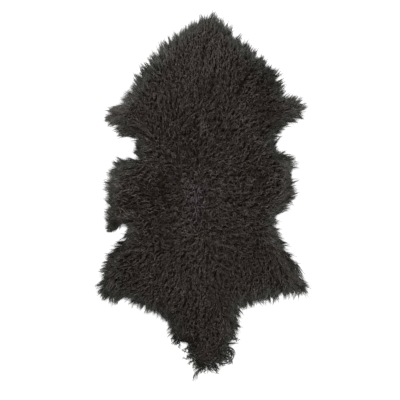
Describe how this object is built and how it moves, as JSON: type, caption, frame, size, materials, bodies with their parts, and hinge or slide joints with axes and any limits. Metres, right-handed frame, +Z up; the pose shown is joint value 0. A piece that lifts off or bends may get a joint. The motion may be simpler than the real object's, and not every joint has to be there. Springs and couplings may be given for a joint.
{
  "type": "sheepskin shag rug",
  "caption": "Flat rug made of one whole sheepskin, dyed charcoal, with a curly wool pile on top, the outline of neck, legs and tail, and locks of wool lying out over its rim.",
  "frame": {"origin": "middle of the footprint, on the underside that lies on the floor", "axes": "+Y along the spine towards the neck, +Z up out of the wool"},
  "size_m": [0.5568, 0.9452, 0.0469],
  "materials": {
    "wool": "matte curly wool, dyed charcoal"
  },
  "bodies": {
    "root": {"pelt": "wool"}
  },
  "joints": []
}
